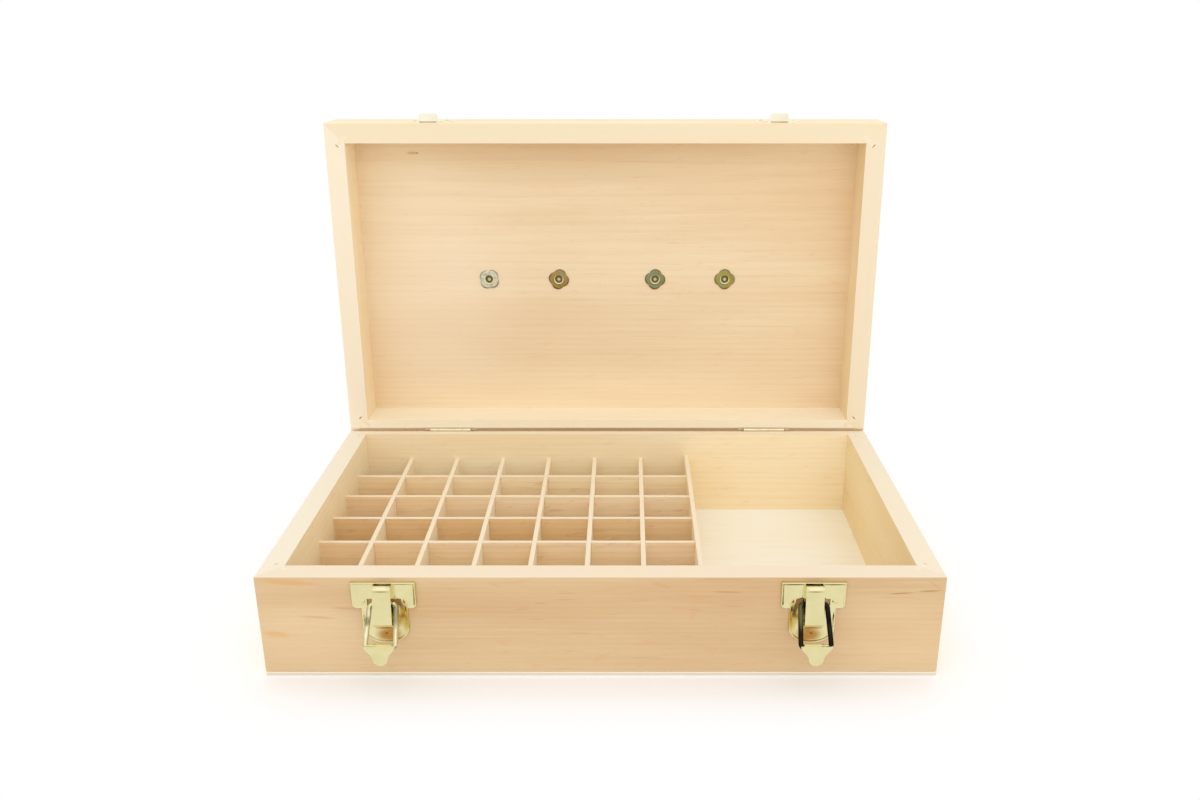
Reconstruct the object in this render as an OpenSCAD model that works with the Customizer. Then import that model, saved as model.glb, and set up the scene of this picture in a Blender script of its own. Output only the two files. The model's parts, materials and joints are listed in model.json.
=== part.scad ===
// Hinged wooden art supply box: splined mitred frames, a bottle grid, a storage
// compartment, two draw latches and a drop handle. Shown with its lid open.
// Origin: centre of the underside. X runs across, Y to the back, Z up. Millimetres.

/* [Case] */
// Width over the side rails
case_w = 406; // [394:1:460]
// Depth over the front and back rails
case_d = 241; // [210:1:290]
// Thickness of every frame rail
rail_t = 14.2; // [13.8:0.1:17]
// Height of the base rails
base_rail_h = 65; // [62:1:90]
// Thickness of the bottom panel
bottom_t = 3.2; // [2.6:0.1:6]
// Height of the lid rails
lid_rail_h = 30; // [24:1:45]
// Thickness of the lid panel
lid_panel_t = 6; // [5.5:0.1:9]
// Small chamfer that breaks every outer edge
edge_ease = 0.5; // [0.3:0.1:1]

/* [Lid opening] */
// Angle between closed and fully open
open_angle = 91.1; // [85:0.1:100]
// Gap between the two rims when the lid is shut
rim_gap = 1; // [0.8:0.1:2]
// Hinge axis, measured in from the back face
axis_inset = 6.1; // [5.6:0.1:6.5]
// Depth of the bevel along the back edge, measured on the rim
bevel_d = 7.2; // [6.6:0.1:8]
// Gap left between the two back edges at the open stop
stop_gap = 0.3; // [0.2:0.05:0.8]

/* [Corner splines] */
// Length of a spline across its mitre
spline_l = 10; // [7:0.5:10.5]
// Thickness of a spline
spline_t = 2.7; // [2:0.1:3.2]
// Distance of a spline from the inner corner
spline_in = 2.6; // [2.4:0.1:4]
// Empty end of the slot in each side rail
spline_void = 0.6; // [0.5:0.1:1.6]

/* [Bottle grid] */
// Clear width of a bottle cell
cell_w = 33.1; // [28:0.1:34.5]
// Thickness of the dividers
divider_t = 3; // [2:0.1:4]
// Drop from the rim to the top of the dividers
divider_drop = 20.5; // [15:0.5:30]
// How far the partition stands above the dividers
partition_rise = 2.3; // [0.5:0.1:8]
// Thickness of the compartment partition
partition_t = 3; // [2:0.1:5]
// Clearance on each side of a halving notch
notch_gap = 0.1; // [0.05:0.05:0.3]

/* [Hinges] */
// Distance of each hinge's middle in from the end of the case
hinge_in = 79.2; // [60:0.1:100]
// Length of a hinge
hinge_l = 31.8; // [26:0.1:38]
// Radius of the hinge barrel
barrel_r = 1.4; // [1.25:0.05:1.7]
// Radius of the hinge pin
hinge_pin_r = 0.7; // [0.5:0.05:0.8]
// Thickness of a hinge leaf
leaf_t = 0.8; // [0.6:0.05:1]
// Reach of a hinge leaf from its axis
leaf_reach = 11; // [8:0.1:13]
// How far the barrel's groove runs on past each end of a hinge
groove_run = 4.5; // [1:0.5:7]

/* [Latches] */
// Distance of the left latch's middle in from the end of the case
left_latch_in = 75.4; // [60:0.1:100]
// Distance of the right latch's middle in from the end of the case
right_latch_in = 77.6; // [60:0.1:100]
// Drop from the rim to the top of a latch plate
latch_drop = 2.9; // [1.5:0.1:4]
// Width of the latch plate
plate_w = 38.4; // [36.5:0.1:42]
// Height of the plate's wide part
shoulder_h = 17.5; // [17:0.1:20]
// Width of the plate's lower part
tail_w = 27.8; // [27.5:0.1:31]
// Total height of the latch plate
plate_h = 41; // [40.5:0.1:44]
// Height of the plate's rounded lower end
tail_round = 10; // [8:0.1:13]
// Thickness of the plate's sheet
plate_t = 1; // [0.8:0.05:1.2]
// Width of the spring strap
strap_w = 10.8; // [9.5:0.1:11.2]
// Thickness of the strap's sheet
strap_t = 0.8; // [0.6:0.05:0.9]
// Diameter of the loop's wire
wire_d = 3; // [2.6:0.05:3.05]
// Length of the wire loop, axis to axis
loop_l = 25.2; // [25:0.1:26]
// Width of the loop at its pivot, between wire centres
loop_top_w = 15.6; // [15.4:0.1:16.6]
// Width of the loop at the lever, between wire centres
loop_low_w = 17.8; // [17.4:0.1:20]
// Angle of the loop out from the wood, as it hangs open
loop_rest = 39; // [20:1:45]
// Angle of the loop when it is hooked, measured the same way
loop_hooked = 175; // [173.5:0.5:176]
// Length of the lever below its bar
lever_l = 10.7; // [9.8:0.1:11]
// Thickness of the lever's sheet
lever_t = 0.7; // [0.5:0.05:0.75]

/* [Keepers] */
// Height of the keeper's arch off the wood
arch_h = 6.4; // [5.6:0.05:6.5]
// Width of the arch at its top
arch_w = 11.6; // [9:0.1:12.5]
// Width over the keeper's ears
ears_w = 31.6; // [29:0.1:36]

/* [Handle] */
// Distance of each handle bracket from the middle
bracket_x = 64.8; // [52:0.1:75]
// Distance between the two screws of a bracket
bracket_pitch = 54.4; // [44:0.1:60]
// Width of a bracket
bracket_w = 15; // [14:0.5:20]
// Thickness of a bracket
bracket_t = 1.5; // [1.2:0.1:2]
// Diameter of the handle's rod
rod_d = 6; // [5:0.1:7]
// Reach of the handle from its axis to the middle of its grip
bail_reach = 34; // [28:0.5:45]
// Running clearance of a pin in its bore
fit_gap = 0.05; // [0.02:0.01:0.08]
// Clearance between parts that swing past each other
swing_gap = 0.3; // [0.25:0.05:0.5]

/* [Hidden] */

$fn = 48;
cut = 1; // overshoot of a cutting tool past a face
columns = 7; // bottle cells across
rows = 6; // bottle cells from front to back
arc_steps = 8; // straight steps that a drawn quarter bend takes

wood = "#EBD3A6";
wood_end = "#E2C492";
grid_wood = "#DDBB85";
brass = "#E3D49A";
dark_steel = "#2E2A26";
zinc = "#B9B08A";

hinge_x = case_w / 2 - hinge_in;
latch_inset = [left_latch_in, right_latch_in];
inner_w = case_w - 2 * rail_t;
inner_d = case_d - 2 * rail_t;
rim_z = bottom_t + base_rail_h;
lid_rim_z = rim_z + rim_gap;
lid_top_z = lid_rim_z + lid_rail_h;
axis_y = case_d / 2 - axis_inset;
axis_z = rim_z + rim_gap / 2;
// The back edges meet stop_gap apart on the line that halves the opening angle.
half_open = open_angle / 2;
stop_drop = (stop_gap / 2 + axis_inset * sin(half_open)) / cos(half_open);
bevel_h = stop_drop - rim_gap / 2;

// ---- placing ----

// Where a latch and its keeper stand in X; side is -1 for the left.
function latch_x(side) = side * (case_w / 2 - latch_inset[(side + 1) / 2]);

module opened() {
    translate([0, axis_y, axis_z])
        rotate([-open_angle, 0, 0])
            translate([0, -axis_y, -axis_z])
                children();
}

// Things mirrored from the base's rim to the lid's rim.
module across_rims() {
    translate([0, 0, 2 * axis_z])
        mirror([0, 0, 1])
            children();
}

// Things on the front of the base: +Y is away from the wood, Z = 0 the plate's top.
module on_latch(side) {
    translate([latch_x(side), -case_d / 2, rim_z - latch_drop])
        mirror([0, 1, 0])
            children();
}

// Things on the front of the shut lid: +Y is away from the wood, Z = 0 the rim.
module on_lid_front(side) {
    translate([latch_x(side), -case_d / 2, lid_rim_z])
        mirror([0, 1, 0])
            children();
}

// ---- frames ----

// A rail along X with its outer face on Y = 0, mitred at both ends.
module mitred_rail(length, h) {
    e = edge_ease;
    intersection() {
        rotate([90, 0, 90])
            translate([0, 0, -length / 2])
                linear_extrude(length)
                    polygon([
                        [e, 0], [rail_t, 0], [rail_t, h], [e, h],
                        [0, h - e], [0, e]
                    ]);
        translate([0, 0, -cut])
            linear_extrude(h + 2 * cut)
                polygon([
                    [-length / 2, 0], [length / 2, 0],
                    [length / 2 - rail_t, rail_t], [rail_t - length / 2, rail_t]
                ]);
    }
}

// The slanting cut along the back of the base's rim.
module back_bevel() {
    translate([0, case_d / 2, rim_z])
        rotate([90, 0, 90])
            translate([0, 0, -case_w / 2 - cut])
                linear_extrude(case_w + 2 * cut)
                    polygon([
                        [-bevel_d, 0], [0, -bevel_h], [cut, -bevel_h - cut * bevel_h / bevel_d],
                        [cut, cut], [-bevel_d - cut * bevel_d / bevel_h, cut]
                    ]);
}

// Centre of a corner's spline: sx and sy are the signs of the corner.
module at_corner(sx, sy) {
    inward = spline_in / sqrt(2);
    translate([
        sx * (case_w / 2 - rail_t + inward),
        sy * (case_d / 2 - rail_t + inward), 0
    ])
        rotate([0, 0, -sx * sy * 45])
            children();
}

// A slot box that runs the full height h of a frame; the spline lies along X.
module spline_box(length, gap, h, extra) {
    translate([-length / 2 - gap, -spline_t / 2 - gap, -extra])
        cube([length + 2 * gap, spline_t + 2 * gap, h + 2 * extra]);
}

// Slots for all four corners; the side rails' slots run on past the spline.
module spline_slots(h, void_l) {
    for (sx = [-1, 1])
        for (sy = [-1, 1])
            at_corner(sx, sy)
                spline_box(spline_l + 2 * void_l, 0, h, cut);
}

module corner_splines(h) {
    for (sx = [-1, 1])
        for (sy = [-1, 1])
            at_corner(sx, sy)
                spline_box(spline_l, 0, h, 0);
}

module front_rail(h) {
    difference() {
        translate([0, -case_d / 2, 0])
            mitred_rail(case_w, h);
        spline_slots(h, 0);
    }
}

module back_rail(h) {
    difference() {
        rotate([0, 0, 180])
            translate([0, -case_d / 2, 0])
                mitred_rail(case_w, h);
        spline_slots(h, 0);
    }
}

module side_rail(side, h) {
    difference() {
        rotate([0, 0, side * 90])
            translate([0, -case_w / 2, 0])
                mitred_rail(case_d, h);
        spline_slots(h, spline_void);
    }
}

module base_frame_place() {
    translate([0, 0, bottom_t])
        children();
}

module lid_frame_place() {
    translate([0, 0, lid_rim_z])
        children();
}

module base_front_rail() {
    color(wood)
        difference() {
            base_frame_place()
                front_rail(base_rail_h);
            for (side = [-1, 1])
                on_latch(side)
                    latch_rivet_holes();
        }
}

module base_back_rail() {
    color(wood)
        difference() {
            base_frame_place()
                back_rail(base_rail_h);
            back_bevel();
            for (side = [-1, 1])
                hinge_recess(side);
        }
}

module base_side_rail(side) {
    color(wood)
        difference() {
            base_frame_place()
                side_rail(side, base_rail_h);
            back_bevel();
        }
}

module base_corner_splines() {
    color(wood_end)
        difference() {
            base_frame_place()
                corner_splines(base_rail_h);
            back_bevel();
        }
}

module bottom_panel() {
    color(wood)
        translate([-case_w / 2, -case_d / 2, 0])
            cube([case_w, case_d, bottom_t]);
}

module lid_front_rail() {
    color(wood)
        opened()
            difference() {
                lid_frame_place()
                    front_rail(lid_rail_h);
                for (side = [-1, 1])
                    on_lid_front(side)
                        keeper_rivet_holes();
            }
}

module lid_back_rail() {
    color(wood)
        opened()
            difference() {
                lid_frame_place()
                    back_rail(lid_rail_h);
                across_rims()
                    back_bevel();
                for (side = [-1, 1])
                    across_rims()
                        hinge_recess(side);
            }
}

module lid_side_rail(side) {
    color(wood)
        opened()
            difference() {
                lid_frame_place()
                    side_rail(side, lid_rail_h);
                across_rims()
                    back_bevel();
            }
}

module lid_corner_splines() {
    color(wood_end)
        opened()
            difference() {
                lid_frame_place()
                    corner_splines(lid_rail_h);
                across_rims()
                    back_bevel();
            }
}

module lid_panel() {
    color(wood)
        opened()
            difference() {
                translate([-case_w / 2, -case_d / 2, lid_top_z])
                    cube([case_w, case_d, lid_panel_t]);
                at_handle_screws()
                    t_nut_hole();
            }
}

// ---- bottle grid ----

divider_h = base_rail_h - divider_drop;
pitch_x = cell_w + divider_t;
pitch_y = (inner_d + divider_t) / rows;
grid_x0 = -inner_w / 2;
partition_x = grid_x0 + columns * pitch_x - divider_t;
notch_w = divider_t + 2 * notch_gap;

function divider_x(i) = grid_x0 + i * pitch_x - divider_t;
function divider_y(j) = -inner_d / 2 + j * pitch_y - divider_t;

// A front to back divider, notched from below.
module long_divider(i) {
    color(grid_wood)
        difference() {
            translate([divider_x(i), -inner_d / 2, bottom_t])
                cube([divider_t, inner_d, divider_h]);
            for (j = [1 : rows - 1])
                translate([divider_x(i) - cut, divider_y(j) - notch_gap, bottom_t - cut])
                    cube([divider_t + 2 * cut, notch_w, divider_h / 2 + cut]);
        }
}

// A left to right divider, notched from above.
module cross_divider(j) {
    color(grid_wood)
        difference() {
            translate([grid_x0, divider_y(j), bottom_t])
                cube([partition_x - grid_x0, divider_t, divider_h]);
            for (i = [1 : columns - 1])
                translate([
                    divider_x(i) - notch_gap, divider_y(j) - cut,
                    bottom_t + divider_h / 2
                ])
                    cube([notch_w, divider_t + 2 * cut, divider_h / 2 + cut]);
        }
}

module compartment_partition() {
    color(wood)
        translate([partition_x, -inner_d / 2, bottom_t])
            cube([partition_t, inner_d, divider_h + partition_rise]);
}

// ---- hinges ----

knuckles = 5;
knuckle_gap = 0.2;
knuckle_l = (hinge_l - (knuckles - 1) * knuckle_gap) / knuckles;
leaf_bore_r = hinge_pin_r + fit_gap;
pilot_gap = 0.05;

// Moves to a hinge's axis: X along the pin, Y to the back, Z up.
module at_hinge(side) {
    translate([side * hinge_x, axis_y, axis_z])
        children();
}

module along_x(length, r) {
    rotate([0, 90, 0])
        cylinder(h = length, r = r);
}

function knuckle_x(i) = -hinge_l / 2 + i * (knuckle_l + knuckle_gap);

// The barrel's groove along the axis, and the saw kerf that the base leaf is pressed into.
module hinge_recess(side) {
    at_hinge(side) {
        translate([-hinge_l / 2 - groove_run, 0, 0])
            along_x(hinge_l + 2 * groove_run, barrel_r + swing_gap);
        translate([-hinge_l / 2, -leaf_t / 2, -leaf_reach])
            cube([hinge_l, leaf_t, leaf_reach]);
    }
}

// A leaf that hangs from the axis and whose knuckles are the even ones (first = 0) or the odd ones.
module hinge_leaf(first) {
    difference() {
        union() {
            translate([-hinge_l / 2, -leaf_t / 2, -leaf_reach])
                cube([hinge_l, leaf_t, leaf_reach - barrel_r - swing_gap]);
            for (i = [first : 2 : knuckles - 1])
                translate([knuckle_x(i), 0, 0]) {
                    along_x(knuckle_l, barrel_r);
                    translate([0, -leaf_t / 2, -barrel_r - 2 * swing_gap])
                        cube([knuckle_l, leaf_t, barrel_r + 2 * swing_gap]);
                }
        }
        translate([-hinge_l / 2 - cut, 0, 0])
            along_x(hinge_l + 2 * cut, leaf_bore_r);
    }
}

module hinge_base_leaf(side) {
    color(brass)
        at_hinge(side)
            hinge_leaf(0);
}

module hinge_lid_leaf(side) {
    color(brass)
        opened()
            at_hinge(side)
                mirror([0, 0, 1])
                    hinge_leaf(1);
}

module hinge_pin(side) {
    color(brass)
        at_hinge(side)
            translate([-hinge_l / 2, 0, 0])
                along_x(hinge_l, hinge_pin_r);
}

// ---- latches ----

plate_corner_r = 3;
rivet_x = 13;
rivet_drop = 12.5;
foot_rivet_drop = 34.6;
rivet_head_r = 1.8;
rivet_head_h = 0.45;
rivet_r = 0.8;
rivet_l = 9;
hem_proud = 0.9;
hem_h = 0.9;
bead_w = 1;
bead_h = 0.3;

wire_r = wire_d / 2;
wire_swell = 0.05; // how much the wire thickens where it is bent
pivot_drop = 13.2; // from the plate's top to the loop's axis
pivot_gap = 0.8; // from the plate's face to the loop's wire
pivot_out = plate_t + pivot_gap + wire_r; // from the wood to the loop's axis
strap_top_out = 6;
strap_low_out = 8.9;
strap_bend_drop = 22.6;
strap_bend_r = 1.6;
strap_back_lean = 50; // how far the return leg leans from level
strap_hem_top = 0.1; // how far the turned-out band at the top stands off the face
strap_hem_low = 0.65;
strap_hem_h = 2.1;
strap_hem_step = 0.25;
strap_foot_drop = 31;
strap_foot_end = 38;
flange_end = pivot_drop - wire_r - swing_gap;
flange_foot_w = loop_top_w - wire_d - 2 * swing_gap;
window_w = 3.8;
window_h = 4.4;

function arc(cx, cy, r, a0, a1) = [
    for (k = [0 : arc_steps])
        let (a = a0 + (a1 - a0) * k / arc_steps)
            [cx + r * cos(a), cy + r * sin(a)]
];

// Half the outline of the latch plate in X and Z, from its top middle down, drawn in by inset.
function plate_half(inset) =
    let (
        w = plate_w / 2 - inset,
        t = tail_w / 2 - inset,
        r = plate_corner_r - inset,
        low = tail_round - plate_h,
        shoulder = inset - shoulder_h
    )
    concat(
        [[0, -inset], [w, -inset]],
        arc(w - r, shoulder + r, r, 0, -90),
        [[t, shoulder]],
        [for (p = arc(0, 0, 1, 0, -90)) [t * p[0], low + (tail_round - inset) * p[1]]]
    );

module plate_outline(inset) {
    half = plate_half(inset);
    polygon(concat(half, [for (k = [len(half) - 2 : -1 : 1]) [-half[k][0], half[k][1]]]));
}

// Stands a drawing in X and Z up as a sheet from y0 to y1.
module sheet(y0, y1) {
    translate([0, y1, 0])
        rotate([90, 0, 0])
            linear_extrude(y1 - y0)
                children();
}

module rivet_places() {
    for (p = [[-rivet_x, -rivet_drop], [rivet_x, -rivet_drop], [0, -foot_rivet_drop]])
        translate([p[0], 0, p[1]])
            children();
}

// A round shank along Y, from y0 to y1.
module shank(y0, y1, r) {
    translate([0, y0, 0])
        rotate([-90, 0, 0])
            cylinder(h = y1 - y0, r = r);
}

// A domed head that rises from y0 by rivet_head_h.
module domed_head(y0, r, h) {
    ball_r = (r * r + h * h) / (2 * h);
    intersection() {
        translate([0, y0 + h - ball_r, 0])
            sphere(r = ball_r);
        shank(y0, y0 + 2 * h, r + cut);
    }
}

module latch_rivet_holes() {
    rivet_places()
        shank(-rivet_l, cut, rivet_r + pilot_gap);
}

module latch_plate(side) {
    color(brass)
        on_latch(side)
            difference() {
                union() {
                    sheet(0, plate_t)
                        plate_outline(0);
                    difference() {
                        sheet(plate_t, plate_t + bead_h)
                            plate_outline(0);
                        sheet(plate_t - cut, plate_t + bead_h + cut)
                            plate_outline(bead_w);
                    }
                    translate([plate_corner_r / 2 - plate_w / 2, 0, -hem_h])
                        cube([plate_w - plate_corner_r, plate_t + hem_proud, hem_h]);
                }
                rivet_places()
                    shank(-cut, plate_t + cut, rivet_r + pilot_gap);
                for (s = [-1, 1])
                    translate([
                        s * (flange_foot_w / 2 + swing_gap + window_w / 2) - window_w / 2,
                        -cut, -pivot_drop - window_h / 2
                    ])
                        cube([window_w, plate_t + 2 * cut, window_h]);
            }
}

// How far the strap's face stands off the wood at a drop below the plate's top.
function strap_face(drop) =
    strap_top_out + (strap_low_out - strap_top_out) * drop / strap_bend_drop;

// Side view of the strap in Y and Z: a face that leans out, a bend and a riveted foot.
module strap_profile() {
    t = strap_t;
    f = plate_t;
    r = strap_bend_r;
    back = strap_back_lean;
    lean = atan((strap_low_out - strap_top_out) / strap_bend_drop);
    bx = strap_low_out - r;
    bz = -strap_bend_drop - r;
    hem_end = strap_hem_h + strap_hem_step;
    polygon(concat(
        [[strap_top_out - t, 0], [strap_top_out + strap_hem_top, 0],
            [strap_face(strap_hem_h) + strap_hem_low, -strap_hem_h],
            [strap_face(hem_end), -hem_end]],
        arc(bx, bz, r, lean, -back),
        [[f + t, -strap_foot_drop], [f + t, -strap_foot_end], [f, -strap_foot_end],
            [f, -strap_foot_drop + t / 2]],
        arc(bx, bz, r - t, -back, lean)
    ));
}

// Everything behind the strap's leaning face.
module behind_strap_face() {
    polygon([
        [0, 0], [strap_top_out - strap_t / 2, 0],
        [strap_low_out - strap_t / 2, -strap_bend_drop], [0, -strap_bend_drop]
    ]);
}

module side_view(width) {
    rotate([90, 0, 90])
        translate([0, 0, -width / 2])
            linear_extrude(width)
                children();
}

// The strap's two side flanges, which stand on the plate above the loop's pivot.
module strap_flanges() {
    intersection() {
        translate([0, 0, -flange_end])
            linear_extrude(flange_end - bead_w)
                for (s = [-1, 1])
                    polygon([
                        [s * flange_foot_w / 2, plate_t],
                        [s * strap_w / 2, strap_top_out + strap_t],
                        [s * (strap_w / 2 - strap_t), strap_top_out + strap_t],
                        [s * (flange_foot_w / 2 - strap_t), plate_t]
                    ]);
        side_view(flange_foot_w + cut)
            behind_strap_face();
    }
}

module latch_strap(side) {
    color(brass)
        on_latch(side)
            difference() {
                union() {
                    side_view(strap_w)
                        strap_profile();
                    strap_flanges();
                }
                translate([0, 0, -foot_rivet_drop])
                    shank(0, plate_t + strap_t + cut, rivet_r + pilot_gap);
            }
}

module latch_rivets(side) {
    color(brass)
        on_latch(side) {
            for (s = [-1, 1])
                translate([s * rivet_x, 0, -rivet_drop])
                    rivet(plate_t);
            translate([0, 0, -foot_rivet_drop])
                rivet(plate_t + strap_t);
        }
}

module rivet(seat) {
    domed_head(seat, rivet_head_r, rivet_head_h);
    shank(-rivet_l, seat + rivet_head_h / 2, rivet_r);
}

// A length of wire from one point in the XZ plane to another.
module wire(a, b) {
    d = b - a;
    translate([a[0], 0, a[1]])
        rotate([0, atan2(d[0], d[1]), 0])
            cylinder(h = norm(d), r = wire_r);
}

// The closed loop, hanging straight down from its pivot bar on the X axis.
module loop_wire() {
    a = loop_top_w / 2;
    b = loop_low_w / 2;
    wire([-a, 0], [a, 0]);
    wire([-b, -loop_l], [b, -loop_l]);
    for (s = [-1, 1]) {
        wire([s * a, 0], [s * b, -loop_l]);
        for (p = [[s * a, 0], [s * b, -loop_l]])
            translate([p[0], 0, p[1]])
                sphere(r = wire_r + wire_swell);
    }
}

// Turns the hanging loop out from the wood to its resting angle.
module at_loop(side) {
    on_latch(side)
        translate([0, pivot_out, -pivot_drop])
            children();
}

module latch_loop(side, finish) {
    color(finish)
        at_loop(side)
            rotate([loop_rest, 0, 0])
                loop_wire();
}

lever_bore_r = wire_r + fit_gap;
lever_roll_r = lever_bore_r + lever_t;
lever_side_gap = 0.4;
lever_roll_w = loop_low_w - wire_d - 2 * lever_side_gap;
lever_face = wire_r + wire_swell + swing_gap; // from the bar's axis to the back of the lever's sheet
lever_ear_out = 9.2; // half the lever's width at its top, in front of the loop's corners
lever_tip_r = 4.4;
lever_steps = 12; // straight steps along each curved edge

// The lever's sheet: straight along its top, then swept in on both sides to the round tip.
module lever_outline() {
    top = lever_roll_r;
    low = lever_tip_r - lever_l;
    edge = [
        for (k = [0 : lever_steps])
            let (u = k / lever_steps)
                [
                    lever_tip_r + (lever_ear_out - lever_tip_r) * (1 + cos(180 * u)) / 2,
                    top + (low - top) * u
                ]
    ];
    polygon(concat(
        edge,
        arc(0, low, lever_tip_r, 0, -180),
        [for (k = [lever_steps : -1 : 0]) [-edge[k][0], edge[k][1]]]
    ));
}

module latch_lever(side) {
    color(brass)
        at_loop(side)
            translate([0, loop_l * sin(loop_rest), -loop_l * cos(loop_rest)])
                difference() {
                    union() {
                        translate([-lever_roll_w / 2, 0, 0])
                            along_x(lever_roll_w, lever_roll_r);
                        sheet(lever_face, lever_face + lever_t)
                            lever_outline();
                    }
                    translate([-lever_roll_w / 2 - cut, 0, 0])
                        along_x(lever_roll_w + 2 * cut, lever_bore_r);
                }
}

// ---- keepers ----

keeper_t = 0.9;
arch_splay = 1.6; // how much wider the arch's foot is on each side
arch_foot_w = arch_w + 2 * arch_splay;
arch_front = 1.2; // from the lid's rim to the arch's front
hook_up = loop_l * cos(180 - loop_hooked) - pivot_drop - latch_drop - rim_gap;
arch_back = hook_up - lever_roll_r - 2 * swing_gap;
lip_gap = 1.3;
lip_inset = 0.4;
neck_rim = 1; // plate left beside the arch's foot
neck_w = arch_foot_w + 2 * neck_rim;
neck_short = 2; // from the end of the neck to the ears
ears_z = 15;
ears_h = 9;
ear_rivet_x = 12;

module keeper_rivet_places() {
    for (s = [-1, 1])
        translate([s * ear_rivet_x, 0, ears_z])
            children();
}

module keeper_rivet_holes() {
    keeper_rivet_places()
        shank(-rivet_l, cut, rivet_r + pilot_gap);
}

module keeper_outline() {
    r = ears_h / 2;
    w = ears_w / 2;
    polygon(concat(
        [[-neck_w / 2, arch_front], [neck_w / 2, arch_front], [neck_w / 2, ears_z - r - neck_short]],
        arc(w - r, ears_z, r, -90, 90),
        arc(r - w, ears_z, r, 90, 270),
        [[-neck_w / 2, ears_z - r - neck_short]]
    ));
}

// The arch in X and Y: a trapezoid that stands on the plate.
module arch_outline(inset, foot) {
    polygon([
        [-arch_foot_w / 2 + inset, foot], [-arch_w / 2 + inset, arch_h - inset],
        [arch_w / 2 - inset, arch_h - inset], [arch_foot_w / 2 - inset, foot]
    ]);
}

module keeper(side) {
    color(brass)
        opened()
            on_lid_front(side)
                difference() {
                    union() {
                        sheet(0, keeper_t)
                            keeper_outline();
                        translate([0, 0, arch_front])
                            linear_extrude(arch_back - arch_front)
                                arch_outline(0, 0);
                    }
                    // open at the back, closed by a lip at the front
                    translate([0, 0, arch_front + keeper_t])
                        linear_extrude(arch_back - arch_front)
                            arch_outline(keeper_t, -cut);
                    // the gap under the lip
                    translate([lip_inset + keeper_t - arch_foot_w / 2, -cut, arch_front - cut])
                        cube([
                            arch_foot_w - 2 * keeper_t - 2 * lip_inset, lip_gap + cut,
                            arch_back - arch_front
                        ]);
                    keeper_rivet_places()
                        shank(-cut, keeper_t + cut, rivet_r + pilot_gap);
                }
}

module keeper_rivets(side) {
    color(brass)
        opened()
            on_lid_front(side)
                keeper_rivet_places()
                    rivet(keeper_t);
}

// ---- handle ----

screw_r = 2.45;
nut_bore_r = screw_r + fit_gap;
nut_barrel_r = 3.2;
nut_flange_t = 1.1;
nut_recess = 0.8; // from the barrel's end to the panel's outer face
nut_barrel_l = lid_panel_t - nut_recess;
nut_lobe_r = 5.2;
nut_lobe_out = 3.2;
nut_mouth = 1.1; // width of the countersink around the nut's mouth
nut_turns = [40, 15, 5, 0]; // how far round each nut was driven
screw_head_r = 4.6;
screw_head_h = 2.8;
screw_dome = 1.5; // radius of the head's dome over the head's radius
screw_slot_w = 1;
screw_slot_d = 1.3;
panel_top_z = lid_top_z + lid_panel_t;

// The four screws from left to right, two to a bracket.
function handle_screw_x(k) =
    (k < 2 ? -bracket_x : bracket_x) + (k % 2 == 0 ? -bracket_pitch : bracket_pitch) / 2;

module at_handle_screws() {
    for (k = [0 : 3])
        translate([handle_screw_x(k), 0, lid_top_z])
            rotate([0, 0, nut_turns[k]])
                children();
}

module t_nut_hole() {
    translate([0, 0, -cut])
        cylinder(h = lid_panel_t + 2 * cut, r = nut_barrel_r + pilot_gap);
}

// A four-lobed flange on the panel's inner face, with its barrel in the panel.
module t_nut() {
    difference() {
        union() {
            for (a = [0 : 90 : 270])
                rotate([0, 0, a])
                    translate([nut_lobe_out, 0, -nut_flange_t])
                        cylinder(h = nut_flange_t, r = nut_lobe_r);
            cylinder(h = nut_barrel_l, r = nut_barrel_r);
        }
        translate([0, 0, -nut_flange_t - cut])
            cylinder(h = nut_flange_t + nut_barrel_l + 2 * cut, r = nut_bore_r);
        translate([0, 0, -nut_flange_t - swing_gap])
            cylinder(h = nut_flange_t, r1 = nut_bore_r + nut_mouth, r2 = nut_bore_r);
    }
}

module t_nuts() {
    color(zinc)
        opened()
            at_handle_screws()
                t_nut();
}

module handle_screw() {
    seat = lid_panel_t + bracket_t;
    difference() {
        union() {
            cylinder(h = seat + screw_head_h / 2, r = screw_r);
            translate([0, 0, seat])
                intersection() {
                    cylinder(h = screw_head_h, r = screw_head_r);
                    translate([0, 0, screw_head_h - screw_dome * screw_head_r])
                        sphere(r = screw_dome * screw_head_r);
                }
        }
        for (a = [0, 90])
            rotate([0, 0, a])
                translate([
                    -screw_head_r / 2, -screw_slot_w / 2,
                    seat + screw_head_h - screw_slot_d
                ])
                    cube([screw_head_r, screw_slot_w, screw_slot_d + cut]);
    }
}

module handle_screws() {
    color(brass)
        opened()
            at_handle_screws()
                handle_screw();
}

rod_r = rod_d / 2;
saddle_in_r = rod_r + swing_gap;
saddle_out_r = saddle_in_r + bracket_t;
saddle_l = 16;
rod_z = bracket_t + swing_gap + rod_r; // rod axis above the lid panel
bail_half = bracket_x - saddle_l / 2 - 2 * rod_r;
pin_out = 2;

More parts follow.
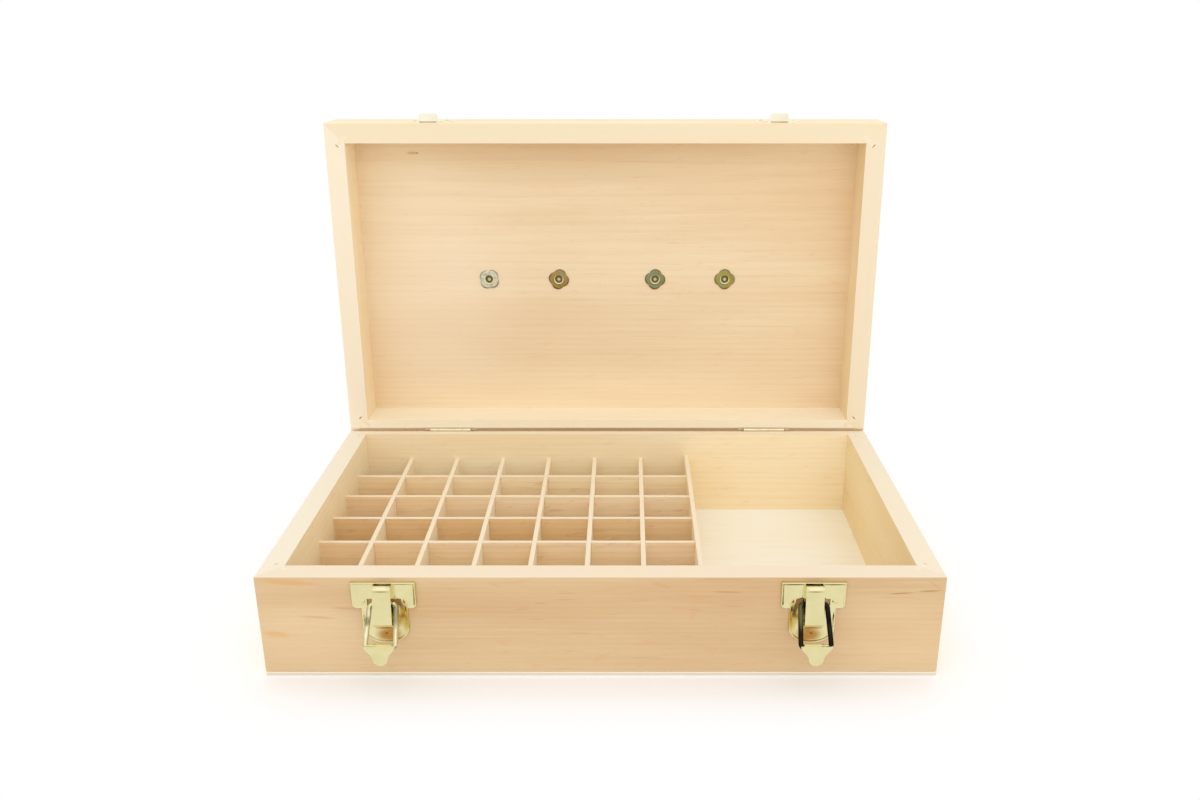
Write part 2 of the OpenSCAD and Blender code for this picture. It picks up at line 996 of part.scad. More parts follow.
// A bracket on the shut lid: a strip with round ends and a saddle over the rod.
module handle_bracket(side) {
    color(brass)
        opened()
            translate([side * bracket_x, 0, panel_top_z])
                difference() {
                    union() {
                        bracket_strip();
                        translate([-saddle_l / 2, 0, rod_z])
                            along_x(saddle_l, saddle_out_r);
                        translate([-saddle_l / 2, -saddle_out_r, 0])
                            cube([saddle_l, 2 * saddle_out_r, rod_z]);
                    }
                    translate([-saddle_l / 2 - cut, 0, rod_z])
                        along_x(saddle_l + 2 * cut, saddle_in_r);
                    translate([-saddle_l / 2 - cut, -saddle_in_r, bracket_t])
                        cube([saddle_l + 2 * cut, 2 * saddle_in_r, rod_z - bracket_t]);
                    translate([-case_w / 2, -case_w / 2, -case_w])
                        cube([case_w, case_w, case_w]);
                    for (s = [-1, 1])
                        translate([s * bracket_pitch / 2, 0, -cut])
                            cylinder(h = bracket_t + 2 * cut, r = screw_r + fit_gap);
                }
}

module bracket_strip() {
    for (s = [-1, 1])
        translate([s * bracket_pitch / 2, 0, 0])
            cylinder(h = bracket_t, r = bracket_w / 2);
    translate([-bracket_pitch / 2, -bracket_w / 2, 0])
        cube([bracket_pitch, bracket_w, bracket_t]);
}

module handle_bail() {
    color(brass)
        opened()
            translate([0, 0, panel_top_z + rod_z])
                bail_rod();
}

// The rod in plan: pins out through the saddles, legs towards the hinges, a grip.
module bail_rod() {
    bend = 2 * rod_r;
    for (s = [-1, 1]) {
        rod([s * (bail_half + bend), 0], [s * (bracket_x + saddle_l / 2 + pin_out), 0]);
        rod_bend([s * (bail_half + bend), bend], bend, s > 0 ? 180 : 270);
        rod([s * bail_half, bend], [s * bail_half, bail_reach - bend]);
        rod_bend([s * (bail_half - bend), bail_reach - bend], bend, s > 0 ? 0 : 90);
    }
    rod([bend - bail_half, bail_reach], [bail_half - bend, bail_reach]);
}

module rod(a, b) {
    d = b - a;
    translate([a[0], a[1], 0])
        rotate([0, 0, atan2(d[1], d[0])])
            along_x(norm(d), rod_r);
}

module rod_bend(c, r, a0) {
    translate([c[0], c[1], 0])
        rotate([0, 0, a0])
            rotate_extrude(angle = 90)
                translate([r, 0])
                    circle(r = rod_r);
}

base_front_rail();
base_back_rail();
base_side_rail(-1);  // base_left_rail
base_side_rail(1);  // base_right_rail
base_corner_splines();
bottom_panel();
long_divider(1);  // long_divider_1
long_divider(2);  // long_divider_2
long_divider(3);  // long_divider_3
long_divider(4);  // long_divider_4
long_divider(5);  // long_divider_5
long_divider(6);  // long_divider_6
cross_divider(1);  // cross_divider_1
cross_divider(2);  // cross_divider_2
cross_divider(3);  // cross_divider_3
cross_divider(4);  // cross_divider_4
cross_divider(5);  // cross_divider_5
compartment_partition();
lid_front_rail();
lid_back_rail();
lid_side_rail(-1);  // lid_left_rail
lid_side_rail(1);  // lid_right_rail
lid_corner_splines();
lid_panel();
hinge_base_leaf(-1);  // left_hinge_base_leaf
hinge_lid_leaf(-1);  // left_hinge_lid_leaf
hinge_pin(-1);  // left_hinge_pin
hinge_base_leaf(1);  // right_hinge_base_leaf
hinge_lid_leaf(1);  // right_hinge_lid_leaf
hinge_pin(1);  // right_hinge_pin
latch_plate(-1);  // left_latch_plate
latch_strap(-1);  // left_latch_strap
latch_rivets(-1);  // left_latch_rivets
latch_loop(-1, brass);  // left_latch_loop
latch_lever(-1);  // left_latch_lever
latch_plate(1);  // right_latch_plate
latch_strap(1);  // right_latch_strap
latch_rivets(1);  // right_latch_rivets
latch_loop(1, dark_steel);  // right_latch_loop
latch_lever(1);  // right_latch_lever
keeper(-1);  // left_keeper
keeper_rivets(-1);  // left_keeper_rivets
keeper(1);  // right_keeper
keeper_rivets(1);  // right_keeper_rivets
t_nuts();
handle_screws();
handle_bracket(-1);  // left_handle_bracket
handle_bracket(1);  // right_handle_bracket
handle_bail();
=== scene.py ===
import json
import math

import bpy
import numpy as np
from mathutils import Matrix, Vector
from mathutils.geometry import tessellate_polygon


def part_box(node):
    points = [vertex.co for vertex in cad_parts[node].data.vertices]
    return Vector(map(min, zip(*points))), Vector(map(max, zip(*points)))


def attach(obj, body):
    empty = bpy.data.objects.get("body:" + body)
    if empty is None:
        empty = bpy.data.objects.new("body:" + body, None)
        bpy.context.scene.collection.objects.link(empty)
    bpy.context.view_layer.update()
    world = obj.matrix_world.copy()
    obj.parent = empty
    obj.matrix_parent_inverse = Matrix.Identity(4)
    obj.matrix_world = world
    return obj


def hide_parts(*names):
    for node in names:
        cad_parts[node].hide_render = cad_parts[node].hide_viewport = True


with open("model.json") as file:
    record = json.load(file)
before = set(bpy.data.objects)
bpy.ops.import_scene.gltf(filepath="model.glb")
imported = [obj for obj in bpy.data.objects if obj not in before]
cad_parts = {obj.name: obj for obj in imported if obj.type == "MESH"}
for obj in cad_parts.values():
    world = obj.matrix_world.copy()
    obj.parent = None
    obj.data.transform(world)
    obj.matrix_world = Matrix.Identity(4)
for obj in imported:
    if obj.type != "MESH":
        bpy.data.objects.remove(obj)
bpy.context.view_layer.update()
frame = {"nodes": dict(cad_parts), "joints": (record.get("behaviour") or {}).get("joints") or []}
NODES = frame["nodes"]

# ---- sizes, most of them taken from the frame ----


def joint(name):
    """The frame's joint of that name."""
    return next(found for found in frame["joints"] if found["name"] == name)


MM = 0.001
AXIS = Vector(joint("lid_hinge")["pos_m"])
OPEN = math.radians(joint("lid_hinge")["range_deg"][1])

rail_low, rail_high = (Vector(corner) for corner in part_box("base_front_rail"))
side_low, side_high = (Vector(corner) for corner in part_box("base_left_rail"))
CASE_W = rail_high.x - rail_low.x
CASE_D = side_high.y - side_low.y
RIM_Z = rail_high.z
BOTTOM_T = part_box("bottom_panel")[1][2]
# How thin a skin of the bottom panel counts as its sawn edge.
SAWN_EDGE = 0.02 * MM
GRID_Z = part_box("cross_divider_1")[1][2]
PARTITION_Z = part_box("compartment_partition")[1][2]
# The lid's rim lies as far above the hinge axis as the base's rim lies below it, once the lid is shut.
LID_RIM_Z = 2 * AXIS.z - RIM_Z
# The four nuts in the lid's panel, in millimetres: where each stands in X, and the height of the shut panel's
# face.
NUT_X = (-92.0, -37.6, 37.6, 92.0)
PANEL_Z = 99.2
# How far in X to fold their row on itself, first to a pair and then to one nut.
NUT_FOLDS = ((NUT_X[3] + NUT_X[2]) / 2, (NUT_X[3] - NUT_X[2]) / 2)
# The sides of the case, and which way along X leads from each to its middle.
INWARD = {"left": 1, "right": -1}
# The latches, in millimetres: where each stands in X, their top, the wood they lie on, and how far each
# plate's two windows lie from its middle.
LATCH_X = {side: sum(corner[0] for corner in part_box(f"{side}_latch_plate")) / 2 / MM for side in INWARD}
LATCH_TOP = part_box("left_latch_plate")[1][2] / MM
LATCH_FACE = -CASE_D / 2 / MM
WINDOW_X = 8.2


# ---- nodes ----


def linear(hex_colour):
    """An sRGB hex colour as the linear RGBA that Blender's nodes take."""
    parts = [int(hex_colour[i : i + 2], 16) / 255 for i in (1, 3, 5)]
    return [c / 12.92 if c <= 0.04045 else ((c + 0.055) / 1.055) ** 2.4 for c in parts] + [1.0]


def add(tree, kind, settings=None, **sockets):
    """Adds a node and returns it. settings are its properties, and "stops" the (place, colour) marks of its
    colour ramp. A socket is named with _ for a space, or i0, i1 by its number, and takes a value or another
    node's output."""
    made = tree.nodes.new(kind)
    settings = dict(settings or {})
    stops = settings.pop("stops", ())
    for name, value in settings.items():
        setattr(made, name, value)
    for place, colour in stops[2:]:
        made.color_ramp.elements.new(place)
    for k, (place, colour) in enumerate(stops):
        made.color_ramp.elements[k].position = place
        made.color_ramp.elements[k].color = linear(colour)
    for name, value in sockets.items():
        numbered = name[0] == "i" and name[1:].isdigit()
        socket = made.inputs[int(name[1:])] if numbered else made.inputs[name.replace("_", " ")]
        if isinstance(value, bpy.types.NodeSocket):
            tree.links.new(value, socket)
        else:
            socket.default_value = value
    return made


def new_material(name):
    """A material that holds only a surface shader and its output."""
    made = bpy.data.materials.new(name)
    made.use_nodes = True
    tree = made.node_tree
    tree.nodes.clear()
    skin = add(tree, "ShaderNodeBsdfPrincipled")
    add(tree, "ShaderNodeOutputMaterial", None, Surface=skin.outputs["BSDF"])
    return made, tree, skin


def paint(node, made):
    """Gives a CAD node one material in every slot."""
    mesh = NODES[node].data
    if not mesh.materials:
        mesh.materials.append(made)
    for k in range(len(mesh.materials)):
        mesh.materials[k] = made


# ---- wood ----


def as_cut(tree, on_lid):
    """Object coordinates; those of the lid are turned shut about the hinge, so its boards lie level as they
    were cut."""
    place = add(tree, "ShaderNodeTexCoord").outputs["Object"]
    if not on_lid:
        return place
    shift = AXIS - Matrix.Rotation(OPEN, 3, "X") @ AXIS
    return add(
        tree, "ShaderNodeMapping", {"vector_type": "POINT"},
        Vector=place, Location=shift, Rotation=(OPEN, 0, 0),
    ).outputs["Vector"]


def streaks(tree, grain, length_mm, width_mm, detail=2.0, shift=0.0):
    """Streaks that lie along the grain, as a value that wanders about a half."""
    laid = add(
        tree, "ShaderNodeMapping", {"vector_type": "POINT"},
        Vector=grain, Location=(shift, shift, shift), Scale=(width_mm / length_mm, 1, 1),
    ).outputs["Vector"]
    return add(
        tree, "ShaderNodeTexNoise", None,
        Vector=laid, Scale=1 / (width_mm * MM), Detail=detail, Roughness=0.55,
    ).outputs["Fac"]


def stained(tree, base, pattern, low, high, strength, colour, how="MIX"):
    """base with colour laid over it by strength, more and more as the pattern goes from low to high."""
    amount = add(
        tree, "ShaderNodeMapRange", {"interpolation_type": "SMOOTHSTEP"},
        i0=pattern, i1=low, i2=high, i3=0.0, i4=strength,
    ).outputs["Result"]
    return add(
        tree, "ShaderNodeMix", {"data_type": "RGBA", "blend_type": how},
        i0=amount, i6=base, i7=linear(colour),
    ).outputs[2]


def marked(tree, base, place, spots, depth=1):
    """base with soft oval marks: (centre, length, height, slant in degrees, strength, colour), in
    millimetres. Each is depth times as deep as high."""
    for centre, length, height, slant, strength, colour in spots:
        off = add(
            tree, "ShaderNodeMapping", {"vector_type": "TEXTURE"},
            Vector=place, Location=[c * MM for c in centre], Rotation=(0, math.radians(slant), 0),
            Scale=(length * MM / 2, depth * height * MM / 2, height * MM / 2),
        ).outputs["Vector"]
        far = add(tree, "ShaderNodeVectorMath", {"operation": "LENGTH"}, i0=off).outputs["Value"]
        base = stained(tree, base, far, 1.0, 0.3, strength, colour)
    return base


def beyond(tree, place, half):
    """How far place lies beyond half on either side of the origin, along each axis, and 0 within it."""
    beside = add(tree, "ShaderNodeVectorMath", {"operation": "ABSOLUTE"}, i0=place).outputs["Vector"]
    beside = add(
        tree, "ShaderNodeVectorMath", {"operation": "SUBTRACT"}, i0=beside, i1=half,
    ).outputs["Vector"]
    return add(
        tree, "ShaderNodeVectorMath", {"operation": "MAXIMUM"}, i0=beside, i1=(0, 0, 0),
    ).outputs["Vector"]


def birch(
    name, along, seed, tones, on_lid=False, flecks=0.0, rim=None, sawn="#F4E6CB", mitred=False, spots=(),
    lines=1.0,
):
    """Unfinished birch, planed and sanded: matt and pale, with faint growth rings, fine fibres, and short
    pinkish pith flecks in some boards. It gives the eye long soft streaks along each board, and a sawn
    edge at the rim painted paler: partly as sawn wood is, and partly as a painted highlight where light
    from above falls on it.

    along is the board's grain, tones its light and deep colour, flecks how strong its pith flecks are, rim
    the height of its sawn edge and the height a little inside it, and spots its marks, painted shades and
    painted light among them."""
    made, tree, skin = new_material(name)
    place = as_cut(tree, on_lid)
    turn = {"X": (0, 0, 0), "Y": (0, 0, -math.pi / 2), "Z": (0, math.pi / 2, 0)}[along]
    grain = add(
        tree, "ShaderNodeMapping", {"vector_type": "POINT"},
        Vector=place, Rotation=turn, Location=(0.37 * seed, 0.011 * seed, 0.007 * seed),
    ).outputs["Vector"]
    light, deep = tones

    # Broad warm and pale stretches, 45 mm wide, over which everything else lies.
    broad = streaks(tree, grain, 260, 45)
    base = add(
        tree, "ShaderNodeValToRGB", {"stops": ((0.34, deep), (0.66, light))}, Fac=broad,
    ).outputs["Color"]

    # Growth rings 3 mm apart, bent by noise. Late wood is a shade deeper, and sharp on one side only.
    drawn_out = add(
        tree, "ShaderNodeMapping", {"vector_type": "POINT"},
        Vector=grain, Location=(0, 0.03, 0.09), Scale=(0.07, 1, 1),
    ).outputs["Vector"]
    rings = add(
        tree, "ShaderNodeTexWave", {"wave_type": "RINGS", "rings_direction": "X", "wave_profile": "SAW"},
        Vector=drawn_out, Scale=math.pi / (10 * 3.0 * MM), Distortion=11.0, Detail=3.0, Detail_Scale=0.2,
        Detail_Roughness=0.5,
    ).outputs["Fac"]
    base = stained(tree, base, rings, 0.3, 1.0, 0.09 * lines, "#E9D3B8", "MULTIPLY")

    # Fibres are finer than a hair, and are drawn half a millimetre and a millimetre and a half wide, to show.
    fibre = streaks(tree, grain, 26, 0.6, 2.0, 1.3)
    strand = streaks(tree, grain, 60, 1.6, 3.0, 2.6)
    base = stained(tree, base, strand, 0.5, 0.8, 0.13 * lines, "#E0C6A2", "MULTIPLY")
    base = stained(tree, base, fibre, 0.5, 0.85, 0.13 * lines, "#DFC7A6", "MULTIPLY")
    base = stained(tree, base, strand, 0.46, 0.22, 0.08, "#FFF4DE")

    # Pith flecks, pinkish brown: soft dashes 12 mm long, and thin darker pores.
    if flecks:
        slanted = add(
            tree, "ShaderNodeMapping", {"vector_type": "POINT"}, Vector=grain, Rotation=(0.12, 0.16, 0.12),
        ).outputs["Vector"]
        base = stained(tree, base, streaks(tree, slanted, 16, 4.0, 2.0, 3.1), 0.60, 0.74, flecks, "#D9A477")
        base = stained(tree, base, streaks(tree, grain, 24, 1.3, 1.0, 9.2), 0.68, 0.80, flecks, "#B98A5E")

    # The sawn edge at the rim is paler and shows less figure: partly as sawn wood is, and partly as a
    # painted highlight where light from above falls on it. A board's marks, painted shades among them, go
    # over its edge.
    if rim:
        height = add(tree, "ShaderNodeSeparateXYZ", None, Vector=place).outputs["Z"]
        base = stained(tree, base, height, rim[1], rim[0], 0.9, sawn)
    base = marked(tree, base, place, spots)

    # A mitre shows as a hairline of glue where two rails meet, drawn a third of a millimetre wide, to show.
    if mitred:
        folded = add(tree, "ShaderNodeVectorMath", {"operation": "ABSOLUTE"}, i0=place).outputs["Vector"]
        apart = add(tree, "ShaderNodeVectorMath", {"operation": "DOT_PRODUCT"}, i0=folded, i1=(1, -1, 0))
        off = add(
            tree, "ShaderNodeMath", {"operation": "SUBTRACT"},
            i0=apart.outputs["Value"], i1=(CASE_W - CASE_D) / 2,
        ).outputs[0]
        off = add(tree, "ShaderNodeMath", {"operation": "ABSOLUTE"}, i0=off).outputs[0]
        base = stained(tree, base, off, 0.35 * MM, 0.05 * MM, 0.15, "#C79F6E")

    grained = add(tree, "ShaderNodeMath", {"operation": "ADD"}, i0=fibre, i1=strand).outputs[0]
    relief = add(
        tree, "ShaderNodeBump", None, Strength=0.25, Distance=0.08 * MM, Height=grained,
    ).outputs["Normal"]
    dull = add(
        tree, "ShaderNodeMapRange", None, i0=strand, i1=0.3, i2=0.8, i3=0.55, i4=0.72,
    ).outputs["Result"]
    tree.links.new(base, skin.inputs["Base Color"])
    tree.links.new(dull, skin.inputs["Roughness"])
    tree.links.new(relief, skin.inputs["Normal"])
    skin.inputs["Specular IOR Level"].default_value = 0.3
    return made


# Each board's light and deep tone. The boards inside the box and on the lid are paler than the front
# board: partly their own wood, and partly painted light that stands in for light bounced about inside the
# box.
FRONT_BOARD = ("#DDC095", "#D2AE81")
RAIL = ("#FFF0CE", "#FDE8BE")
RIGHT_RAIL = ("#F6E4BA", "#F2DAA8")
LID_RAIL = ("#FFF0D0", "#FCE6BC")
LID_RIGHT_RAIL = ("#F3DFB8", "#EED6AA")
LID_BACK_RAIL = ("#FFF8E4", "#FFF2D6")
LID_BOARD = ("#F3DDB8", "#ECCFA6")
LONG_DIVIDER = ("#FFF6DE", "#FFEFCC")
CROSS_DIVIDERS = (
    ("#FFEAC8", "#FFE0B2"), ("#FFEAC8", "#FFE0B2"), ("#F4D8AC", "#EECA94"), ("#FFEBC8", "#FDE0B4"),
    ("#FFEEC8", "#FFE4B6"),
)
PARTITION = ("#FEEECE", "#FBE5BC")
FLOOR_PLY = ("#FFFEF4", "#FEFAEA")

# The heights between which each top edge turns paler: partly sawn wood, partly a painted highlight.
RIM = (RIM_Z - 0.1 * MM, RIM_Z - 0.5 * MM)
LID_RIM = (LID_RIM_Z + 0.1 * MM, LID_RIM_Z + 0.5 * MM)
GRID_TOP = (GRID_Z - 0.1 * MM, GRID_Z - 0.4 * MM)
PARTITION_TOP = (PARTITION_Z - 0.1 * MM, PARTITION_Z - 0.4 * MM)

# A small reddish knot near the shut lid's front left corner. The panel is darker along the front, a painted
# shade where the lid's front rail shades it, and paler along the back, painted light bounced up from the box;
# it is also paler on the left.
PANEL_KNOT_AND_SHADES = (
    ((-146, -96.5, PANEL_Z), 12, 3.2, 0, 0.6, "#C9935C"),
    ((-142.5, -96.5, PANEL_Z), 3.2, 1.9, 0, 0.7, "#B07C4C"),
    ((0, -108, PANEL_Z), 460, 90, 0, 0.35, "#D6B384"),
    ((-150, 10, PANEL_Z), 220, 240, 0, 0.35, "#FFF0D6"),
    ((0, 104, PANEL_Z), 460, 90, 0, 0.4, "#FFECC8"),
)

# A painted shade: a brown line worked into the edges that meet along the hinge, where the gap between lid
# and base lies in shadow.
HINGE_SHADE = (([c / MM for c in AXIS], 900, 5.0, 0, 0.8, "#B47C40"),)


def front_marks_and_window_shades(z):
    """Flecks and mineral streaks on the front rail, where a sawn birch board has them, paler stretches
    towards both ends, and painted shade in the windows of the latch plates, where the plates shade the wood
    behind them."""
    y = LATCH_FACE
    return (
        ((-170, y, z - 38), 120, 70, 0, 0.25, "#F0D4A8"),
        ((175, y, z - 38), 110, 70, 0, 0.3, "#F0D2A2"),
        ((-183, y, z - 3.5), 44, 5.5, 5, 0.5, "#DDA45C"),
        ((-194, y, z - 38.5), 22, 6.0, 6, 0.5, "#E0A45C"),
        ((-168, y, z - 27), 30, 2.6, 4, 0.4, "#C99A68"),
        ((197, y, z - 6), 18, 2.2, 38, 0.35, "#CF9F5E"),
        ((-150, y, z - 21), 24, 2.4, 3, 0.45, "#C4946A"),
        ((-113, y, z - 21), 16, 6.0, 12, 0.45, "#DFA479"),
        ((-132, y, z - 5), 20, 3.0, 14, 0.45, "#C9975F"),
        ((-62, y, z - 5), 12, 3.2, 18, 0.4, "#D9A478"),
        ((35, y, z - 5), 18, 3.6, 20, 0.4, "#D3A069"),
        ((75, y, z - 10), 24, 1.8, 2, 0.5, "#B98A5C"),
        ((58, y, z - 13), 20, 4.0, 3, 0.45, "#DBA26C"),
        ((55, y, z - 25), 5, 16, 16, 0.4, "#D9A87A"),
        ((-60, y, z - 44), 14, 4.0, 32, 0.4, "#DBA880"),
        ((30, y, z - 38), 16, 3.0, 30, 0.3, "#D3A67C"),
        ((194, y, z - 9.3), 18, 1.7, -3, 0.6, "#A87A48"),
        ((177, y, z - 10.8), 20, 1.6, -3, 0.6, "#A87A48"),
        ((128, y, z - 34), 20, 3.4, 9, 0.3, "#D9A87C"),
    # Painted shade on the wood in each plate window, which lies in the plate's shadow.
    ) + tuple(
        ((LATCH_X[side] + hole * WINDOW_X, y, z - 16.1), 7.5, 8, 0, 0.85, tone)
        for side, hole, tone in (
            ("left", -1, "#C8A468"), ("left", 1, "#A8702C"),
            ("right", -1, "#A8782E"), ("right", 1, "#C8A468"),
        )
    )


# The rails: node, grain, tones, whether it is on the lid, how strong its flecks are, its rim, the tone of its
# sawn edge, paler partly as a painted highlight, and its marks, painted shades among them.
BOARDS = (
    ("base_front_rail", "X", FRONT_BOARD, False, 0.32, RIM, "#F3E4CB", front_marks_and_window_shades(RIM_Z / MM)),
    ("base_back_rail", "X", RAIL, False, 0.10, RIM, "#F6E6C8", HINGE_SHADE),
    ("base_left_rail", "Y", RAIL, False, 0.14, RIM, "#F1E7D2", ()),
    ("base_right_rail", "Y", RIGHT_RAIL, False, 0.14, RIM, "#F2E6CE", ()),
    ("lid_front_rail", "X", LID_RAIL, True, 0.08, LID_RIM, "#F0DEBC", ()),
    ("lid_back_rail", "X", LID_BACK_RAIL, True, 0.08, LID_RIM, "#F8ECD2", HINGE_SHADE),
    ("lid_left_rail", "Y", LID_RAIL, True, 0.08, LID_RIM, "#F5E6CC", ()),
    ("lid_right_rail", "Y", LID_RIGHT_RAIL, True, 0.08, LID_RIM, "#F1E0C2", ()),
)
for seed, (node, along, tones, on_lid, flecks, rim, sawn, spots) in enumerate(BOARDS, 1):
    paint(node, birch("planed_birch_" + node, along, seed, tones, on_lid, flecks, rim, sawn, True, spots))

board = birch("planed_birch_lid_panel", "X", 10, LID_BOARD, True, 0.12, spots=PANEL_KNOT_AND_SHADES, lines=1.2)
paint("lid_panel", board)
for k in range(1, 7):
    board = birch(f"planed_birch_long_divider_{k}", "Y", 20 + k, LONG_DIVIDER, flecks=0.08, rim=GRID_TOP)
    paint(f"long_divider_{k}", board)
for k, tones in enumerate(CROSS_DIVIDERS, 1):
    board = birch(f"planed_birch_cross_divider_{k}", "X", 30 + k, tones, flecks=0.3, rim=GRID_TOP, lines=2.0)
    paint(f"cross_divider_{k}", board)
paint("compartment_partition", birch("planed_birch_partition", "Y", 41, PARTITION, rim=PARTITION_TOP))
splines = birch("planed_birch_base_splines", "Z", 45, RAIL, rim=RIM, sawn="#F2E4CC")
paint("base_corner_splines", splines)
splines = birch("planed_birch_lid_splines", "Z", 46, LID_RAIL, True, rim=LID_RIM, sawn="#F3E2C4")
paint("lid_corner_splines", splines)


def at_edge(tree, place):
    """1 on the sawn edge of the bottom panel, all round, and 0 inside it."""
    beside = beyond(tree, place, (CASE_W / 2 - SAWN_EDGE, CASE_D / 2 - SAWN_EDGE, 0))
    x, y, _ = add(tree, "ShaderNodeSeparateXYZ", None, Vector=beside).outputs
    further = add(tree, "ShaderNodeMath", {"operation": "MAXIMUM"}, i0=x, i1=y).outputs[0]
    return add(tree, "ShaderNodeMath", {"operation": "GREATER_THAN"}, i0=further, i1=0.0).outputs[0]


def birch_plywood(name, tones):
    """Thin birch plywood, rotary cut and glued from three layers: an almost plain pale face with wide soft
    figure, and a greyish sawn edge on which the middle layer shows as a darker line."""
    made, tree, skin = new_material(name)
    place = as_cut(tree, False)
    light, deep = tones
    broad = streaks(tree, place, 150, 60, 2.0, 5.0)
    strand = streaks(tree, place, 70, 2.2, 3.0, 1.0)
    base = add(
        tree, "ShaderNodeValToRGB", {"stops": ((0.34, deep), (0.66, light))}, Fac=broad,
    ).outputs["Color"]
    base = stained(tree, base, strand, 0.5, 0.8, 0.35, "#EFDDBC", "MULTIPLY")
    height = add(tree, "ShaderNodeSeparateXYZ", None, Vector=place).outputs["Z"]
    layer = add(tree, "ShaderNodeMapRange", None, i0=height, i1=0.0, i2=BOTTOM_T).outputs["Result"]
    plies = add(
        tree, "ShaderNodeValToRGB",
        {"stops": (
            (0.0, "#F0EAE2"), (0.31, "#F0EAE2"), (0.36, "#DACFC0"), (0.64, "#DACFC0"), (0.69, "#F6E6CC"),
        )},
        Fac=layer,
    ).outputs["Color"]
    base = add(
        tree, "ShaderNodeMix", {"data_type": "RGBA"}, i0=at_edge(tree, place), i6=base, i7=plies,
    ).outputs[2]
    relief = add(
        tree, "ShaderNodeBump", None, Strength=0.2, Distance=0.08 * MM, Height=strand,
    ).outputs["Normal"]
    tree.links.new(base, skin.inputs["Base Color"])
    tree.links.new(relief, skin.inputs["Normal"])
    skin.inputs["Roughness"].default_value = 0.62
    skin.inputs["Specular IOR Level"].default_value = 0.3
    return made


paint("bottom_panel", birch_plywood("rotary_cut_birch_plywood", FLOOR_PLY))


# ---- metal ----


# A mark on metal reaches this many times as deep as it is high, so that it follows the metal round a bend.
MARK_DEPTH = 12


def plated_steel(name, light, deep, roughness, ripple=0.1, spots=()):
    """Sheet steel, stamped, bent and brightly brass plated: a soft mirror that is hardly uneven. It gives the
    eye pale even gold with crisp light edges and small dull patches. Its spots are painted shades, highlights
    and reflections."""
    made, tree, skin = new_material(name)
    place = add(tree, "ShaderNodeTexCoord").outputs["Object"]
    patch = add(tree, "ShaderNodeTexNoise", None, Vector=place, Scale=1 / (9 * MM), Detail=2.0).outputs["Fac"]
    grit = add(
        tree, "ShaderNodeTexNoise", None, Vector=place, Scale=1 / (0.8 * MM), Detail=2.0,
    ).outputs["Fac"]
    base = add(tree, "ShaderNodeValToRGB", {"stops": ((0.3, deep), (0.7, light))}, Fac=patch).outputs["Color"]
    base = marked(tree, base, place, spots, MARK_DEPTH)
    worn = add(
        tree, "ShaderNodeMapRange", None, i0=grit, i1=0.3, i2=0.8, i3=0.8 * roughness, i4=1.4 * roughness,
    ).outputs["Result"]
    relief = add(
        tree, "ShaderNodeBump", None, Strength=ripple, Distance=0.2 * MM, Height=patch,
    ).outputs["Normal"]
    tree.links.new(base, skin.inputs["Base Color"])
    tree.links.new(worn, skin.inputs["Roughness"])
    tree.links.new(relief, skin.inputs["Normal"])
    skin.inputs["Metallic"].default_value = 1.0
    return made


def from_nut(tree, place, aside=0.0):
    """The distance from the axis of the nearest lid nut, by folding the row of four on itself twice. aside
    moves that axis along the box's depth."""
    x, y, _ = add(tree, "ShaderNodeSeparateXYZ", None, Vector=place).outputs
    y = add(tree, "ShaderNodeMath", {"operation": "SUBTRACT"}, i0=y, i1=aside).outputs[0]
    for fold in NUT_FOLDS:
        x = add(tree, "ShaderNodeMath", {"operation": "ABSOLUTE"}, i0=x).outputs[0]
        x = add(tree, "ShaderNodeMath", {"operation": "SUBTRACT"}, i0=x, i1=fold * MM).outputs[0]
    flat = add(tree, "ShaderNodeCombineXYZ", None, X=x, Y=y).outputs[0]
    return add(tree, "ShaderNodeVectorMath", {"operation": "LENGTH"}, i0=flat).outputs["Value"]


def yellow_zinc(name):
    """Pressed steel nuts, zinc plated and passivated yellow: a satin skin that shifts between olive, gold,
    brown and a bluish grey from nut to nut. Painted into its colour are a bright crescent, a painted
    highlight, below each dark mouth, a painted shade, and a darker outer edge."""
    made, tree, skin = new_material(name)
    place = as_cut(tree, True)
    low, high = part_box("t_nuts")
    across = add(tree, "ShaderNodeSeparateXYZ", None, Vector=place).outputs["X"]
    share = add(tree, "ShaderNodeMapRange", None, i0=across, i1=low[0], i2=high[0]).outputs["Result"]
    each = add(
        tree, "ShaderNodeValToRGB",
        {"stops": ((0.0, "#D8D6BC"), (0.2, "#A88C50"), (0.5, "#8E8E68"), (0.8, "#A79C54"))}, Fac=share,
    )
    each.color_ramp.interpolation = "CONSTANT"
    tint = add(tree, "ShaderNodeTexNoise", None, Vector=place, Scale=1 / (5 * MM), Detail=3.0).outputs["Fac"]
    grit = add(
        tree, "ShaderNodeTexNoise", None, Vector=place, Scale=1 / (1.1 * MM), Detail=2.0,
    ).outputs["Fac"]
    axis = from_nut(tree, place)
    base = stained(tree, each.outputs["Color"], tint, 0.52, 0.7, 0.45, "#8C9A9A")
    base = stained(tree, base, tint, 0.46, 0.3, 0.5, "#86703A")
    # From outside in: the darker outer edge, the bright crescent, a painted highlight, and, a little off the
    # axis, the dark mouth, a painted shade.
    base = stained(tree, base, axis, 6.2 * MM, 8.2 * MM, 0.7, "#5E5234")
    base = stained(tree, base, axis, 3.9 * MM, 3.3 * MM, 0.85, "#F6EFB4")
    base = stained(tree, base, from_nut(tree, place, -0.6 * MM), 3.4 * MM, 2.7 * MM, 0.85, "#74612E")
    relief = add(
        tree, "ShaderNodeBump", None, Strength=0.3, Distance=0.15 * MM, Height=grit,
    ).outputs["Normal"]
    tree.links.new(base, skin.inputs["Base Color"])
    tree.links.new(relief, skin.inputs["Normal"])
    skin.inputs["Metallic"].default_value = 1.0
    skin.inputs["Roughness"].default_value = 0.3
    return made


